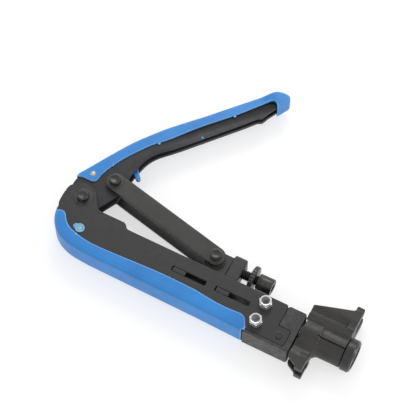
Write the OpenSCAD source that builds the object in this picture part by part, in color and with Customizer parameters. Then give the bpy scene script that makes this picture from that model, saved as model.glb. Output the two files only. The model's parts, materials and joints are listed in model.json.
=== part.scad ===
// Coaxial compression tool: two-plate frame, toggle lever, sliding plunger
// and a swivelling two-station die head. Units are millimetres, +Z is up.
// Design coordinates: X along the frame towards the die head, Y towards the
// moving lever, Z = 0 on the outer face of the upper frame plate.

/* [Frame] */
// Overall thickness of the frame across both side plates
frame_t = 19.5; // [19:0.1:20]
// Thickness of each steel side plate
plate_t = 2.5; // [2.3:0.1:2.6]
// Thickness of the plastic grip shell over the frame
grip_t = 1.8; // [1.4:0.1:2]
// Width of the two guide slots in the side plates
slot_w = 4.2; // [4:0.1:4.6]

/* [Toggle] */
// Radius of the three linkage rivets
rivet_r = 3; // [2.5:0.1:3.2]
// Radius of the rivet heads
rivet_head_r = 4.3; // [4:0.1:5]
// Half width of the toggle link plates
link_hw = 7.3; // [6.8:0.1:7.3]

/* [Lever] */
// Width of the lever channel across its two flanges
lever_w = 10.6; // [10:0.1:11]
// Wall thickness of the lever channel
lever_wall = 1.8; // [1.4:0.1:2.2]
// Thickness of the lever grip over the flanges
lever_grip_t = 1.6; // [1.2:0.1:1.6]

/* [Plunger] */
// Radius of the adjusting screw
screw_r = 3.9; // [3.4:0.1:3.9]
// Radius of the plunger tip
tip_r = 6; // [5:0.1:6.5]
// Radius of the knurled lock nut
lock_nut_r = 9; // [8:0.1:9]

/* [Die head] */
// Radius of the swivel boss of the head
boss_r = 12; // [11.5:0.1:12.2]
// Radius of the large die trough
large_die_r = 8; // [7:0.1:8.4]
// Radius of the small die trough
small_die_r = 5.6; // [4.8:0.1:6]
// Radius of the pull knob
knob_r = 12.5; // [11:0.1:12.5]

/* [Fasteners] */
// Width across flats of the frame nuts
nut_af = 10; // [9.8:0.1:10]
// Height of the frame nuts
nut_h = 6.3; // [5:0.1:6.5]

/* [Hidden] */
$fn = 64;
zm = -frame_t / 2;                 // middle plane of the tool
head_h = 3.8;                      // height of every head below the frame
org = [111.75, 50.95, -frame_t - head_h];  // design point that becomes the origin
pv = [0.9, -1.5];                  // main pivot
la = [15.8, 21.9];                 // link pivot on the lever
lb = [112.7, 1.0];                 // link pivot on the slider
ay = 1.0;                          // plunger axis height
hy = -21.2;                        // swivel axis height
sy = 2 * hy - ay;                  // small die axis height
lz1 = zm + lever_w / 2;            // lever flange outer faces
lz0 = zm - lever_w / 2;
eps = 0.01;

module place() translate([-org[0], -org[1], -org[2]]) children();
// extrusion between two heights
module slab(z0, z1) translate([0, 0, z0]) linear_extrude(z1 - z0) children();
// disc or post with its axis along Z
module post(p, r, z0, z1) translate([p[0], p[1], z0]) cylinder(h = z1 - z0, r = r);
// disc or post with its axis along X
module bar(x0, x1, y, r, z = zm) translate([x0, y, z]) rotate([0, 90, 0]) cylinder(h = x1 - x0, r = r);
module box(x0, x1, y0, y1, z0, z1) translate([x0, y0, z0]) cube([x1 - x0, y1 - y0, z1 - z0]);
// ring with its axis along Z
module ring(p, r, ri, z0, z1) difference() { post(p, r, z0, z1); post(p, ri, z0 - 1, z1 + 1); }
module ringx(x0, x1, y, r, ri) difference() { bar(x0, x1, y, r); bar(x0 - 1, x1 + 1, y, ri); }
// smooth open curve through points, n pieces per span
function cr1(a, b, c, d, t) = 0.5 * (2 * b + (c - a) * t + (2 * a - 5 * b + 4 * c - d) * t * t + (3 * b - a - 3 * c + d) * t * t * t);
function smooth(p, n) = concat([for (i = [0:len(p) - 2]) for (k = [0:n - 1])
  cr1(p[max(i - 1, 0)], p[i], p[i + 1], p[min(i + 2, len(p) - 1)], k / n)], [p[len(p) - 1]]);
function rev(p) = [for (i = [len(p) - 1:-1:0]) p[i]];
function arc(c, r, a0, a1, n) = [for (i = [0:n]) let (a = a0 + (a1 - a0) * i / n) c + r * [cos(a), sin(a)]];

// outer edge of the steel frame from the pivot end to the nose
steel_outer = concat(smooth([[-13.4, -13], [-12, -16.5], [-10.6, -21], [-8.6, -25], [-5.5, -29.5],
  [-1.3, -33.6], [4.8, -37], [14, -39.4], [28, -40.5]], 2), [[70, -40.8], [120, -41.2], [156.8, -41.5]]);
// inner edge of the frame plates from the nose back to the pivot end
plate_inner = concat([[178.6, -28], [178.6, -12], [177, -10.2], [44.5, -10]],
  smooth([[44.5, -10], [42.6, -9], [41.2, -7.2], [39, -5.9]], 2), [[20, -5.9]],
  smooth([[16.5, -5], [13.5, -2], [8.5, 5.4], [4.8, 8.2], [-1.5, 9.4], [-7, 8.2], [-11, 5.2], [-13.2, 2.2], [-13.8, -3], [-13.8, -9]], 2));
module plate2d() polygon(concat(steel_outer, [[186.7, -41.5], [188.2, -40.9], [188.8, -39.5], [188.8, -30], [188.2, -28.6], [186.7, -28]], plate_inner));
// frame grip outline
grip_outer = concat(smooth([[-12.8, -15.6], [-12.1, -20.5], [-10.2, -25.7], [-7, -30.8], [-2.4, -35.2],
  [4, -38.8], [13.5, -41.3], [28, -42.4]], 2), [[70, -42.8], [120, -43.3], [158, -44.2]]);
grip_lip = concat([[157.4, -41], [154.6, -35.4], [152.6, -33.2], [150, -32.6]],
  smooth([[150, -32.6], [140, -33.2], [130, -33], [120, -32], [110, -31.1], [90, -30.8], [75, -31.1], [50, -32.4],
  [30.5, -33.1], [20.5, -32.5], [15.5, -31.7], [10.6, -30.4], [6.6, -29.2], [3.6, -27.6], [0.6, -25.2], [-1.4, -22.7], [-3.4, -20.2], [-5.6, -18.9], [-8.4, -19]], 2),
  [[-11.6, -19.9]]);
module slots2d() for (x = [88.3, 124.2]) translate([x, -22.8 - slot_w / 2]) square([28.3, slot_w]);
bolt_xy = [[162.7, -17.2], [162.7, -33.2]];
nose_rv = [182.6, -35.4];
plug = [11.9, -25.7];

module frame_plate(z0) difference() {
  slab(z0, z0 + plate_t) difference() { plate2d(); slots2d(); }
  post(pv, rivet_r + 0.02, z0 - 1, z0 + plate_t + 1);
  for (b = bolt_xy) post(b, 3.05, z0 - 1, z0 + plate_t + 1);
  post(nose_rv, 1.62, z0 - 1, z0 + plate_t + 1);
  post(plug, 2.42, z0 - 1, z0 + plate_t + 1);
}
module frame_plate_top() color([0.2, 0.2, 0.2]) frame_plate(-plate_t);
module frame_plate_bottom() color([0.2, 0.2, 0.2]) frame_plate(-frame_t);
// packing bar that closes the outer edge between the plates
spine_in = concat([[152.5, -38.6], [30, -37.9]], rev(smooth([[-8.4, -21.2], [-6.7, -24], [-3.8, -28], [0.2, -31.6], [5.8, -34.7], [15, -36.9]], 2)));
spine_out = concat(smooth([[-10.6, -21], [-8.6, -25], [-5.5, -29.5], [-1.3, -33.6], [4.8, -37], [14, -39.4], [28, -40.5]], 2), [[70, -40.8], [120, -41.2], [152.5, -41.4]]);
module frame_spine() color([0.24, 0.24, 0.24]) slab(-frame_t + plate_t, -plate_t) polygon(concat(spine_out, spine_in));
module nose2d() polygon([[157.2, -44.2], [192, -44.2], [193.1, -43.7], [193.5, -42.6], [193.5, -12], [193.1, -11], [192, -10.6], [180.2, -10.6], [179, -11.8],
  [179, -27.7], [186.8, -27.7], [188.5, -28.4], [189.2, -29.9], [189.2, -39.6], [188.5, -41.2], [186.9, -41.8], [157.2, -41.8]]);
module nose_block() color([0.3, 0.3, 0.31]) difference() {
  union() {
    slab(-frame_t, 0) nose2d();
    slab(-frame_t + plate_t, -plate_t) polygon([[153, -41.4], [153, -36], [153, -12.5], [154.5, -11], [193.5, -11], [193.5, -42.5], [158, -42.5], [157.2, -41.5]]);
  }
  for (b = bolt_xy) post(b, 3.05, -frame_t - 1, 1);
  post(nose_rv, 1.62, -frame_t - 1, 1);
  bar(176, 195, hy, 6);                 // seat of the swivel tube
  bar(191, 195, hy - 10.6, 2.06);       // bore of the detent ball
}
module nose_rivet() color([0.28, 0.28, 0.28]) union() {
  post(nose_rv, 1.6, -frame_t - 0.6, 0.6);
  for (z = [0, -frame_t - 1]) post(nose_rv, 2.6, z, z + 1);
}
module frame_bolts() color([0.75, 0.75, 0.74]) for (b = bolt_xy) union() {
  post(b, 3, -frame_t - 1, nut_h - 0.6);
  translate([b[0], b[1], -frame_t - head_h]) cylinder(h = head_h, r = nut_af / 2 / cos(30), $fn = 6);
}
module frame_lock_nuts() color([0.85, 0.85, 0.84]) for (b = bolt_xy) difference() {
  intersection() {
    translate([b[0], b[1], 0]) cylinder(h = nut_h, r = nut_af / 2 / cos(30), $fn = 6);
    translate([b[0], b[1], 0]) rotate_extrude() polygon([[0, 0], [5.1, 0], [5.9, 0.5], [5.9, 4], [5.2, 4.7], [4.7, 4.8], [4.6, nut_h - 0.7], [4, nut_h], [0, nut_h]]);
  }
  post(b, 3.05, -1, nut_h + 1);
  post(b, 3.9, nut_h - 2, nut_h - 0.5);
}
module nut_inserts() color([0.15, 0.15, 0.16]) for (b = bolt_xy) ring(b, 3.9, 3.02, nut_h - 2, nut_h - 0.55);
module frame_grip() color([0.1, 0.35, 0.75]) difference() {
  slab(-frame_t - grip_t, grip_t) polygon(concat(grip_outer, grip_lip));
  slab(-frame_t, 0) plate2d();
  slab(-frame_t - 0.02, 0.02) polygon([[156.9, -40], [159, -40], [159, -45], [156.9, -45]]);
  slab(-frame_t - 3, 3) polygon([[157.1, -40], [160, -40], [160, -46], [157.1, -46]]);
}
module grip_plug() color([0.35, 0.65, 0.8]) difference() {
  union() {
    post(plug, 2.4, -frame_t - 0.5, 0.5);
    for (z = [0, -frame_t - 1]) { post(plug, 3.7, z, z + 1); post(plug + [-3.2, 0.3], 2.2, z, z + 0.9); }
  }
  post(plug, 1, -frame_t - 2, 2);
}
module grip_plug_screw() color([0.8, 0.6, 0.45]) union() {
  post(plug, 1, -frame_t - 0.8, 0.8);
}
module rivet(p, z0, z1, h) union() {
  post(p, rivet_r, z0, z1);
  for (s = [0, 1]) translate([p[0], p[1], s == 0 ? z1 : z0]) mirror([0, 0, s]) rotate_extrude()
    polygon([[0, 0], [rivet_head_r, 0], [rivet_head_r, h - 0.7], [rivet_head_r - 0.8, h], [0, h]]);
}
module pivot_rivet() color([0.3, 0.3, 0.3]) rivet(pv, -frame_t - 0.8, 0.8, head_h - 0.8);
module pivot_washers() color([0.24, 0.24, 0.24]) for (z = [0, -frame_t - 0.8]) ring(pv, 7.6, rivet_r, z, z + 0.8);
// thrust washers between the frame plates and the lever flanges
module pivot_spacers() color([0.5, 0.5, 0.5]) {
  ring(pv, 6.5, rivet_r, lz1 + 0.25, -plate_t);
  ring(pv, 6.5, rivet_r, -frame_t + plate_t, lz0 - 0.25);
}
module swivel_tube() color([0.55, 0.55, 0.56]) ringx(176, 212, hy, 6, 3.2);
module swivel_retainer() color([0.45, 0.45, 0.46]) ringx(208.4, 211.6, hy, 8.4, 6);
module detent_ball() color([0.8, 0.8, 0.82]) translate([193.2, hy - 10.6, zm]) sphere(r = 2);

// outline of the lever channel
lever_back = concat(smooth([[-10.6, -3], [-12.2, 4], [-12.8, 9], [-12.4, 14], [-10.6, 18.6], [-8, 23.5], [-3.6, 31.5],
  [1, 39.5], [11, 57.6], [21, 71.8], [31, 84.6], [51, 106.8]], 2), [[61, 118.6], [81, 141.6], [86, 147.6]], smooth([[86, 147.6], [89, 150.2], [92, 151.2], [95, 150]], 2));
lever_mouth = concat([[94.5, 141], [92.6, 136.6], [90.6, 132.5], [89.6, 129.5], [88.4, 126.6], [86.6, 125.4], [84.9, 124.4], [78.8, 116.4], [68.5, 104], [43.7, 74.2]],
  smooth([[43.7, 74.2], [38.7, 68.8], [33.8, 64.8], [29.8, 61], [27, 56.6], [24.8, 51], [23.6, 45], [22.8, 39]], 2), [[22.4, 25], [22.1, 13]],
  [[15.1, -1]]);
module lever2d() polygon(concat(lever_mouth, arc(pv, 11.5, -10, -170, 16), lever_back_rev()));
function lever_back_rev() = lever_back;
// the hollow of the channel stops short of the back
lever_hollow = concat(smooth([[-8.6, 2], [-10.6, 8], [-10.4, 13], [-8.4, 18.2], [-2, 30], [2.8, 38.6], [12.7, 56.4], [22.6, 70.5], [32.5, 83.2]], 2), [[52.4, 105.4], [82.5, 140.3], [87, 146], [90.5, 148.8], [93.4, 148.2]]);
module lever_channel() color([0.22, 0.22, 0.23]) difference() {
  slab(lz0, lz1) lever2d();
  slab(lz0 + lever_wall, lz1 - lever_wall) polygon(concat([[110, 140], [60, 40], [30, -20], [-5, -20], [-14, -12]], [[-14, 1]], lever_hollow));
  post(pv, rivet_r + 0.05, lz0 - 1, lz1 + 1);
  post(la, rivet_r + 0.05, lz0 - 1, lz1 + 1);
  for (p = lever_screw) post(p, 1.4, lz0 - 1, lz1 + 1);
}
lever_screw = [[-3.6, 21.4]];
lgrip_outer = concat(smooth([[-13.9, 14.6], [-13.4, 17.4], [-10.7, 22.3], [-5.6, 31.8], [-0.7, 41], [9.4, 58.8], [19.4, 73], [29.4, 85.8], [49.4, 108]], 2), [[59.4, 119.8], [79.4, 142.9], [84.4, 148.8]],
  smooth([[84.4, 148.8], [87.8, 151.8], [91.6, 153.2], [95.5, 153.5], [98.6, 153], [100.2, 151.6], [100, 149.6]], 2));
lgrip_lip = concat([[94.9, 139.6]], smooth([[94.2, 140.4], [92.3, 142.7], [89.4, 143.2], [86.4, 140.8], [79.3, 131.6], [69.2, 118.6], [49.2, 95.5], [34.1, 75.6], [24.1, 64.4], [14.1, 49.4],
  [9.1, 40.4], [6.1, 33.4], [4.1, 28.4], [2.8, 23.3], [2.4, 19.3], [1.5, 16.8], [-0.3, 15.5], [-3, 15.1], [-9, 15.2]], 2), [[-13, 14]]);
module lever_grip() color([0.1, 0.35, 0.75]) difference() {
  slab(lz0 - lever_grip_t, lz1 + lever_grip_t) polygon(concat(rev(lgrip_outer), rev(lgrip_lip)));
  slab(lz0, lz1) union() { lever2d(); polygon([[60, 60], [94.5, 141], [93, 146], [80, 130]]); }
  for (p = lever_screw) { post(p, 1.4, lz0 - 5, lz1 + 5); post(p, 1.9, lz1 + lever_grip_t - 0.8, lz1 + 5); post(p, 1.9, lz0 - 5, lz0 - lever_grip_t + 0.8); }
}
module lever_grip_screws() color([0.85, 0.75, 0.6]) for (p = lever_screw) union() {
  post(p, 1.4, lz0 - lever_grip_t + 0.4, lz1 + lever_grip_t - 0.4);
  post(p, 1.9, lz1 + lever_grip_t - 0.8, lz1 + lever_grip_t);
  post(p, 1.9, lz0 - lever_grip_t, lz0 - lever_grip_t + 0.8);
}
// sleeves that keep the two flanges apart on their rivets
module lever_bush() color([0.6, 0.55, 0.4]) ring(pv, 5.5, rivet_r + 0.05, lz0 + lever_wall, lz1 - lever_wall);
module link_bush() color([0.6, 0.55, 0.4]) ring(la, 5.5, rivet_r + 0.05, lz0 + lever_wall, lz1 - lever_wall);
tabp = [18.6, 44.4];
module lock_tab_pin() color([0.5, 0.5, 0.5]) post(tabp, 1.5, lz0 + lever_wall, lz1 - lever_wall);
module lock_tab() color([0.1, 0.4, 0.85]) difference() {
  union() {
    post(tabp, 3.2, zm - 1.8, zm + 1.8);
    slab(zm - 1.8, zm + 1.8) polygon([tabp + [-1.3, -2.6], tabp + [2.6, 1.3], [30.6, 35.6], [29.9, 34], [28, 33], [26.6, 33.8]]);
    post([28.6, 34.9], 1.95, zm - 1.8, zm + 1.8);
  }
  post(tabp, 1.55, zm - 3, zm + 3);
}

ab = lb - la;
lang = atan2(ab[1], ab[0]);
llen = norm(ab);
module link2d() translate(la) rotate(lang) union() {
  circle(r = link_hw); translate([llen, 0]) circle(r = link_hw);
  translate([0, -link_hw]) square([llen, 2 * link_hw]);
}
module link_plate(z0) difference() {
  slab(z0, z0 + plate_t) link2d();
  for (p = [la, lb]) post(p, rivet_r + 0.02, z0 - 1, z0 + plate_t + 1);
}
module link_plate_top() color([0.27, 0.265, 0.25]) link_plate(-plate_t);
module link_plate_bottom() color([0.27, 0.265, 0.25]) link_plate(-frame_t);
module link_rivet_lever() color([0.3, 0.3, 0.3]) rivet(la, -frame_t - 0.8, 0.8, head_h - 0.8);
module link_rivet_slider() color([0.3, 0.3, 0.3]) rivet(lb, -frame_t - 0.8, 0.8, head_h - 0.8);
module link_washers() color([0.26, 0.26, 0.25]) for (p = [la, lb]) for (z = [0, -frame_t - 0.8]) ring(p, 6.3, rivet_r, z, z + 0.8);
module link_spacers() color([0.5, 0.5, 0.5]) {
  ring(la, 6, rivet_r, lz1 + 0.25, -plate_t);
  ring(la, 6, rivet_r, -frame_t + plate_t, lz0 - 0.25);
}

// slider between the plates
sz1 = -plate_t - 0.3;
sz0 = -frame_t + plate_t + 0.3;
guide_x = [89.5, 125.1];
module guide_key(x) box(x, x + 10.2, -24.7, -20.9, -frame_t + 0.25, -0.25);
module slider_block() color([0.3, 0.3, 0.3]) difference() {
  slab(sz0, sz1) union() {
    polygon([[88, -27.5], [135.4, -27.5], [135.4, 8.6], [134.2, 10], [126.2, 10], [124.9, 8.8], [124.9, -10.4], [88, -12.6]]);
    translate([lb[0], -12]) square([13, 12 + 8]);
    translate([105.9, -12]) square([10, 13]);
    translate(lb) circle(r = 7.1);
  }
  for (x = guide_x) guide_key(x);
  bar(121, 136, ay, 4);
  // clearance slot for the slider rivet
  slab(sz0 - 1, sz1 + 1) {
    translate(lb) circle(r = rivet_r + 0.35);
    translate(lb + [2.9, 1.5]) circle(r = rivet_r + 0.35);
    translate(lb) rotate(atan2(1.5, 2.9)) translate([0, -rivet_r - 0.3]) square([norm([2.9, 1.5]), 2 * rivet_r + 0.6]);
  }
}
module slider_guides() color([0.32, 0.32, 0.32]) for (x = guide_x) guide_key(x);
module plunger_screw() color([0.16, 0.16, 0.16]) union() { bar(124.5, 148, ay, screw_r); bar(147.9, 151, ay, 2.5); }
module plunger_tip() color([0.3, 0.3, 0.29]) difference() {
  translate([148, ay, zm]) rotate([0, 90, 0]) rotate_extrude() polygon([[0, 0], [tip_r - 0.4, 0], [tip_r, 0.4], [tip_r, 11.4], [tip_r - 0.6, 12], [0, 12]]);
  bar(147, 151, ay, 2.5);
  bar(154, 161, ay, 3.1);
}
module lock_nut() color([0.35, 0.35, 0.34]) difference() {
  translate([142.4, ay, zm]) rotate([0, 90, 0]) rotate_extrude() polygon([[0, 0], [lock_nut_r - 0.5, 0], [lock_nut_r, 0.5], [lock_nut_r, 2.8], [lock_nut_r - 0.5, 3.3], [0, 3.3]]);
  bar(141, 147, ay, screw_r + 0.08);
  for (i = [0:23]) translate([144, ay, zm]) rotate([i * 15, 0, 0]) translate([-3, -0.35, lock_nut_r - 0.5]) cube([6, 0.7, 1]);
}

// die head, large die towards +Y, small die towards -Y
hx0 = 194.5; hx1 = 229.5; sx1 = 208.3;
module swivel_head() color([0.24, 0.24, 0.24]) difference() {
  union() {
    bar(hx0, hx1, hy, boss_r);
    box(hx0, hx1, hy - 2.3, ay - 7, zm - 11.7, zm + 11.7);
    intersection() { union() { bar(hx0, hx1, ay, 11); box(hx0, hx1, ay, 14, zm - 11, zm + 11); }
      slab(-40, 20) polygon([[190, ay - 14], [235, ay - 14], [235, 8], [226, 7.9], [222.4, 7.1], [194, -1.8]]); }
    box(223.2, hx1, ay - 8, 11.5, zm - 12, zm + 12);
    bar(223.2, hx1, ay - 2, 12);
    box(hx0, sx1, sy, hy, zm - 8.4, zm + 8.4);
    intersection() { union() { bar(hx0, sx1, sy, 9); box(hx0, sx1, -56, sy, zm - 9, zm + 9); }
      slab(-40, 20) polygon([[190, -38], [190, -44.2], [203, -48.4], [215, -49], [215, -38]]); }
    box(202.4, sx1, -51.6, sy + 4, zm - 9, zm + 9);
  }
  // large trough and its cable slot
  bar(hx0 - 1, 223.2, ay, large_die_r);
  box(hx0 - 1, 223.2, ay, 20, zm - large_die_r, zm + large_die_r);
  bar(222, hx1 + 1, ay, 4.4);
  box(222, hx1 + 1, ay, 20, zm - 4.4, zm + 4.4);
  // small trough and its cable slot
  bar(hx0 - 1, 202.4, sy, small_die_r);
  box(hx0 - 1, 202.4, -60, sy, zm - small_die_r, zm + small_die_r);
  bar(201, sx1 + 1, sy, 3.6);
  box(201, sx1 + 1, -60, sy, zm - 3.6, zm + 3.6);
  // bearing bore, inner chamber and cap seat
  bar(hx0 - 1, hx1 + 1, hy, 6.05);
  bar(208, hx1 + 1, hy, 9);
  // ring groove for the detent ball
  difference() { bar(hx0 - 1, hx0 + 1.2, hy, 12.7); bar(hx0 - 2, hx0 + 2, hy, 8.5); box(hx0 - 3, hx0 + 3, -60, hy - 12.7, -40, 20); }
}
module head_cap() color([0.28, 0.28, 0.28]) ringx(226.4, hx1, hy, 9, 3.1);
module head_knob() color([0.26, 0.26, 0.27]) difference() {
  translate([230.2, hy, zm]) rotate([0, 90, 0]) rotate_extrude() polygon([[0, 0], [knob_r - 0.4, 0], [knob_r, 0.4], [knob_r, 6], [knob_r - 1.3, 7.2], [9.4, 7.2], [9, 6.4], [0, 6.4]]);
  bar(228, 235, hy, 3);
  translate([230, hy, zm]) rotate([20, 0, 0]) box(4.2, 6, 11.4, 14, -1.2, 1.2);
}
module knob_rod() color([0.6, 0.6, 0.6]) union() { bar(197, 235, hy, 3); bar(213, 215, hy, 6.5); }
// return spring of the knob, shown closed up coil on coil
module knob_spring() color([0.7, 0.7, 0.7]) for (i = [0:4]) translate([215.6 + 1.15 * i, hy, zm]) rotate([0, 90, 0]) rotate_extrude() translate([5, 0]) circle(r = 0.6, $fn = 24);

place() frame_plate_top();
place() frame_plate_bottom();
place() frame_spine();
place() nose_block();
place() nose_rivet();
place() frame_bolts();
place() frame_lock_nuts();
place() nut_inserts();
place() frame_grip();
place() grip_plug();
place() grip_plug_screw();
place() pivot_rivet();
place() pivot_washers();
place() pivot_spacers();
place() swivel_tube();
place() swivel_retainer();
place() detent_ball();
place() lever_channel();
place() lever_grip();
place() lever_grip_screws();
place() lever_bush();
place() link_bush();
place() lock_tab_pin();
place() lock_tab();
place() link_plate_top();
place() link_plate_bottom();
place() link_rivet_lever();
place() link_rivet_slider();
place() link_washers();
place() link_spacers();
place() slider_block();
place() slider_guides();
place() plunger_screw();
place() plunger_tip();
place() lock_nut();
place() swivel_head();
place() head_cap();
place() head_knob();
place() knob_rod();
place() knob_spring();
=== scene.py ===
import json
import math

import bmesh
import bpy
import numpy as np
from mathutils import Matrix, Vector

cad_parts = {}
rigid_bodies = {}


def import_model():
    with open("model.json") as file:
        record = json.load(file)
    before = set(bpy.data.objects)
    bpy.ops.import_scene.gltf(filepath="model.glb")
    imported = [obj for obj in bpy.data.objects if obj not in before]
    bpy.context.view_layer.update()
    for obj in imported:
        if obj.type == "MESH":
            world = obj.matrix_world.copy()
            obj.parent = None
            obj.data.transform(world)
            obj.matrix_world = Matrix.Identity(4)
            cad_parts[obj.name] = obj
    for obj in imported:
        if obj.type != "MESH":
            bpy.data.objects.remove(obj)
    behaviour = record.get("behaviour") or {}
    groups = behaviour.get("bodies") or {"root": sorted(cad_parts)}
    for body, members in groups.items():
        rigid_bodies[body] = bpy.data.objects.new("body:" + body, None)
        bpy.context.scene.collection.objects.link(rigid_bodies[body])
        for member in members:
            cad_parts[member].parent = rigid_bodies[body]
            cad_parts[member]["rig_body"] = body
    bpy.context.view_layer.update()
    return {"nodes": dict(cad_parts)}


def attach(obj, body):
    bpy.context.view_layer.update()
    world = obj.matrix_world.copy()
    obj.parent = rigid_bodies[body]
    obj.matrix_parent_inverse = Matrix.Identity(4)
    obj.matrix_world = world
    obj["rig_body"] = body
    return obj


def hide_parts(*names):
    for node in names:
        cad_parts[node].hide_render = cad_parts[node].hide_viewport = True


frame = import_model()
NODES = frame["nodes"]
scene = bpy.context.scene

# ------------------------------------------------------------------ units
# Shapes are written in the design's millimetres and moved to the row frame.
ORG = np.array([111.75, 50.95, -23.3])
FT, PT = 19.5, 2.5
ZM = -FT / 2
PV, LA, LB = (0.9, -1.5), (15.8, 21.9), (112.7, 1.0)
AY, HY = 1.0, -21.2
SY = 2 * HY - AY
BOLTS = [(162.7, -17.2), (162.7, -33.2)]
NOSE_RV, PLUG, LSCREW, TAB = (182.6, -35.4), (11.9, -25.7), (-3.6, 21.4), (18.6, 44.4)


def to_row(v):
    return (np.asarray(v, float) - ORG) / 1000.0


# ------------------------------------------------------------------ curves
def smooth(p, n):
    """Catmull-Rom curve through the points, n pieces per span."""
    p = [np.array(q, float) for q in p]
    out = []
    for i in range(len(p) - 1):
        a, b, c, d = p[max(i - 1, 0)], p[i], p[i + 1], p[min(i + 2, len(p) - 1)]
        for k in range(n):
            t = k / n
            out.append(0.5 * (2 * b + (c - a) * t + (2 * a - 5 * b + 4 * c - d) * t * t + (3 * b - a - 3 * c + d) * t ** 3))
    return [tuple(q) for q in out] + [tuple(p[-1])]


def arc(c, r, a0, a1, n):
    return [(c[0] + r * math.cos(math.radians(a0 + (a1 - a0) * i / n)), c[1] + r * math.sin(math.radians(a0 + (a1 - a0) * i / n))) for i in range(n + 1)]


def circle(c, r, n=48):
    return [(c[0] + r * math.cos(2 * math.pi * i / n), c[1] + r * math.sin(2 * math.pi * i / n)) for i in range(n)]


def rounded(poly, r, n=4):
    """The closed polygon with each corner turned over radius r."""
    out, m = [], len(poly)
    for i in range(m):
        a, b, c = (np.array(poly[j % m], float) for j in (i - 1, i, i + 1))
        u, v = a - b, c - b
        lu, lv = np.linalg.norm(u), np.linalg.norm(v)
        u, v = u / lu, v / lv
        ang = math.acos(max(-1, min(1, float(u @ v))))
        if ang > math.radians(165):
            out.append(tuple(b))
            continue
        rr = r[i] if isinstance(r, (list, tuple)) else r
        d = min(rr / math.tan(ang / 2), lu * 0.48, lv * 0.48)
        p, q = b + u * d, b + v * d
        for k in range(n + 1):
            t = k / n
            out.append(tuple((1 - t) ** 2 * p + 2 * t * (1 - t) * b + t * t * q))
    return out


def resample(p, n):
    p = np.array(p, float)
    s = np.concatenate([[0], np.cumsum(np.linalg.norm(np.diff(p, axis=0), axis=1))])
    t = np.linspace(0, s[-1], n)
    return np.stack([np.interp(t, s, p[:, 0]), np.interp(t, s, p[:, 1])], 1)


def push(p, d):
    """An open line moved sideways by d, to its right when walked forward."""
    p = np.array(p, float)
    t = np.gradient(p, axis=0)
    t /= np.linalg.norm(t, axis=1)[:, None]
    return [tuple(q) for q in p + d * np.stack([t[:, 1], -t[:, 0]], 1)]


# ------------------------------------------------------------------ meshes
def new_object(name, mesh):
    o = bpy.data.objects.new(name, mesh)
    scene.collection.objects.link(o)
    return o


def shade(mesh, angle=32):
    for p in mesh.polygons:
        p.use_smooth = True
    mesh.set_sharp_from_angle(angle=math.radians(angle))


def from_bm(name, bm, angle=32, design=True):
    if design:
        for v in bm.verts:
            v.co = Vector(to_row(v.co))
    bmesh.ops.recalc_face_normals(bm, faces=bm.faces)
    me = bpy.data.meshes.new(name)
    bm.to_mesh(me)
    bm.free()
    shade(me, angle)
    return new_object(name, me)


def from_arrays(name, verts, faces, angle=180):
    me = bpy.data.meshes.new(name)
    v = (np.asarray(verts, float) - ORG) / 1000.0
    f = np.asarray(faces, np.int32)
    me.vertices.add(len(v))
    me.vertices.foreach_set("co", v.astype(np.float32).ravel())
    me.loops.add(f.size)
    me.loops.foreach_set("vertex_index", f.ravel())
    me.polygons.add(len(f))
    me.polygons.foreach_set("loop_start", np.arange(0, f.size, f.shape[1], dtype=np.int32))
    me.polygons.foreach_set("loop_total", np.full(len(f), f.shape[1], np.int32))
    me.update(calc_edges=True)
    me.validate()
    shade(me, angle)
    return new_object(name, me)


def weighted(o):
    m = o.modifiers.new("normals", "WEIGHTED_NORMAL")
    m.keep_sharp = True
    m.weight = 60
    return o


def plate(name, outline, holes, z0, z1, r, res=3):
    """A flat plate with rounded edges and holes, made from a filled curve."""
    cu = bpy.data.curves.new(name, "CURVE")
    cu.dimensions = "2D"
    cu.fill_mode = "BOTH"
    cu.bevel_depth = r / 1000
    cu.bevel_resolution = res
    cu.extrude = ((z1 - z0) / 2 - r) / 1000
    cu.offset = -r / 1000
    for loop in [outline] + list(holes):
        pts = [tuple(q) for q in loop]
        keep = [pts[0]]
        for q in pts[1:]:
            if math.dist(q, keep[-1]) > 0.02:
                keep.append(q)
        if math.dist(keep[0], keep[-1]) < 0.02:
            keep.pop()
        sp = cu.splines.new("POLY")
        sp.points.add(len(keep) - 1)
        for i, q in enumerate(keep):
            sp.points[i].co = ((q[0] - ORG[0]) / 1000, (q[1] - ORG[1]) / 1000, 0, 1)
        sp.use_cyclic_u = True
    co = new_object(name + "_curve", cu)
    dg = bpy.context.evaluated_depsgraph_get()
    me = bpy.data.meshes.new_from_object(co.evaluated_get(dg), depsgraph=dg)
    me.transform(Matrix.Translation((0, 0, ((z0 + z1) / 2 - ORG[2]) / 1000)))
    bpy.data.objects.remove(co)
    bpy.data.curves.remove(cu)
    bm = bmesh.new()
    bm.from_mesh(me)
    bmesh.ops.remove_doubles(bm, verts=bm.verts, dist=2e-6)
    bmesh.ops.recalc_face_normals(bm, faces=bm.faces)
    bm.to_mesh(me)
    bm.free()
    me.name = name
    me.materials.clear()
    shade(me, 40)
    return weighted(new_object(name, me))


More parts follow.
